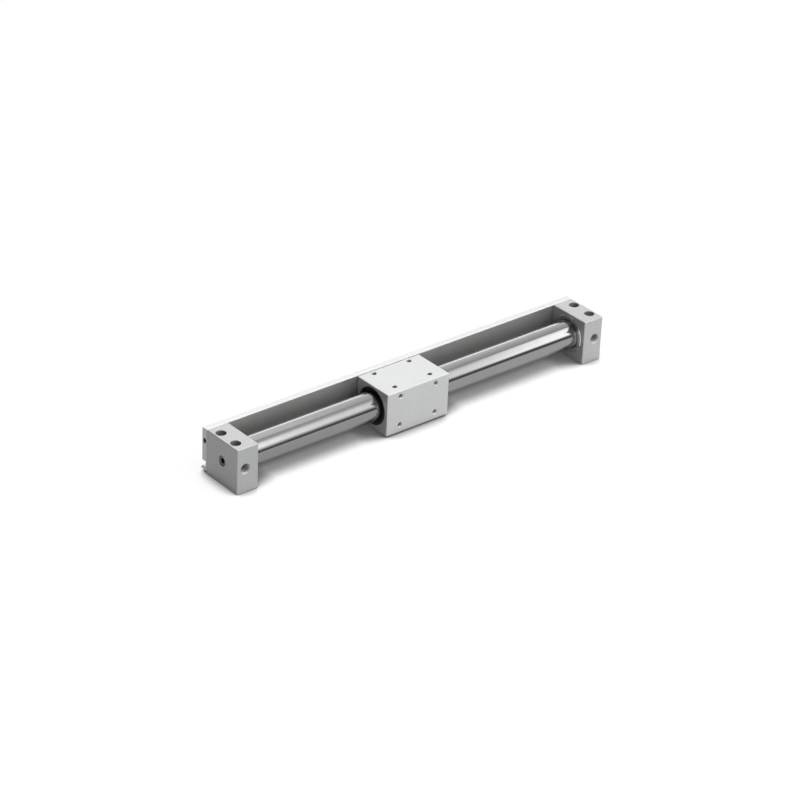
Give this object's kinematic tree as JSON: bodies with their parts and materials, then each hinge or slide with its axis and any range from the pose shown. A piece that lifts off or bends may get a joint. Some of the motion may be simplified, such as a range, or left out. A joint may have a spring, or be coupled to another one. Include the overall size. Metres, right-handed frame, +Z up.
{
  "type": "rodless pneumatic cylinder",
  "caption": "Magnetically coupled rodless air cylinder: thin steel tube between square end covers, a sliding block with threaded holes, and a sensor rail along the back.",
  "frame": {"origin": "centre of the base bolt pattern on the plane of the end covers' bottoms, under the middle of the tube", "axes": "+X along the tube towards the right end cover, -Y the side with the open air ports, +Y the side with the sensor rail, +Z up from the mounting plane"},
  "size_m": [0.418, 0.052, 0.044],
  "materials": {
    "cover_aluminium": "bead-blasted, clear anodised",
    "slider_aluminium": "fine milled, clear anodised",
    "rail_aluminium": "extruded, clear anodised",
    "nut_aluminium": "turned, clear anodised",
    "piston_aluminium": "turned",
    "tube_stainless": "cold-drawn stainless, ground along its length",
    "spring_steel": "phosphated spring steel",
    "zinc_steel": "zinc plated",
    "black_steel": "black oxide",
    "shield_steel": "rolled steel strip, nickel plated",
    "yoke_steel": "turned, zinc chromated",
    "shaft_steel": "turned stainless",
    "magnet_nickel": "nickel plated",
    "seal_rubber": "moulded nitrile rubber",
    "bumper_rubber": "moulded polyurethane",
    "lube_felt": "oil-soaked felt",
    "wear_plastic": "filled bearing resin"
  },
  "bodies": {
    "base": {"cylinder_tube": "tube_stainless", "end_bumper_left": "bumper_rubber", "end_bumper_right": "bumper_rubber", "end_cover_left": "cover_aluminium", "end_cover_right": "cover_aluminium", "end_port_plug_left": "black_steel", "end_port_plug_right": "black_steel", "magnetic_shield_plate": "shield_steel", "rail_passage_plugs": "black_steel", "rail_screws": "zinc_steel", "switch_rail": "rail_aluminium", "tube_gasket_left": "seal_rubber", "tube_gasket_right": "seal_rubber", "tube_ring_nut_left": "nut_aluminium", "tube_ring_nut_right": "nut_aluminium", "tube_snap_ring_left": "spring_steel", "tube_snap_ring_right": "spring_steel"},
    "slider": {"slider_body": "slider_aluminium", "slider_lube_ring_left": "lube_felt", "slider_lube_ring_right": "lube_felt", "slider_magnet_1": "magnet_nickel", "slider_magnet_2": "magnet_nickel", "slider_magnet_3": "magnet_nickel", "slider_magnet_4": "magnet_nickel", "slider_scraper_left": "seal_rubber", "slider_scraper_right": "seal_rubber", "slider_snap_ring_left": "spring_steel", "slider_snap_ring_right": "spring_steel", "slider_wear_ring_left": "wear_plastic", "slider_wear_ring_right": "wear_plastic", "slider_yoke_1": "yoke_steel", "slider_yoke_2": "yoke_steel", "slider_yoke_3": "yoke_steel", "slider_yoke_4": "yoke_steel", "slider_yoke_5": "yoke_steel", "switch_magnet": "magnet_nickel"},
    "piston": {"piston_left": "piston_aluminium", "piston_lube_ring_left": "lube_felt", "piston_lube_ring_right": "lube_felt", "piston_magnet_1": "magnet_nickel", "piston_magnet_2": "magnet_nickel", "piston_magnet_3": "magnet_nickel", "piston_magnet_4": "magnet_nickel", "piston_nut_left": "zinc_steel", "piston_nut_right": "zinc_steel", "piston_right": "piston_aluminium", "piston_seal_left": "seal_rubber", "piston_seal_right": "seal_rubber", "piston_shaft": "shaft_steel", "piston_wear_ring_left": "wear_plastic", "piston_wear_ring_right": "wear_plastic", "piston_yoke_1": "yoke_steel", "piston_yoke_2": "yoke_steel", "piston_yoke_3": "yoke_steel", "piston_yoke_4": "yoke_steel", "piston_yoke_5": "yoke_steel"}
  },
  "joints": [
    {"name": "slider_slide", "type": "slide", "parent": "base", "child": "slider", "axis": [1, 0, 0], "range_m": [-0.1397, 0.1603]},
    {"name": "piston_slide", "type": "slide", "parent": "base", "child": "piston", "axis": [1, 0, 0], "range_m": [-0.1397, 0.1603]}
  ],
  "couplings": [
    {"joint": "piston_slide", "follows": "slider_slide", "ratio": 1}
  ]
}
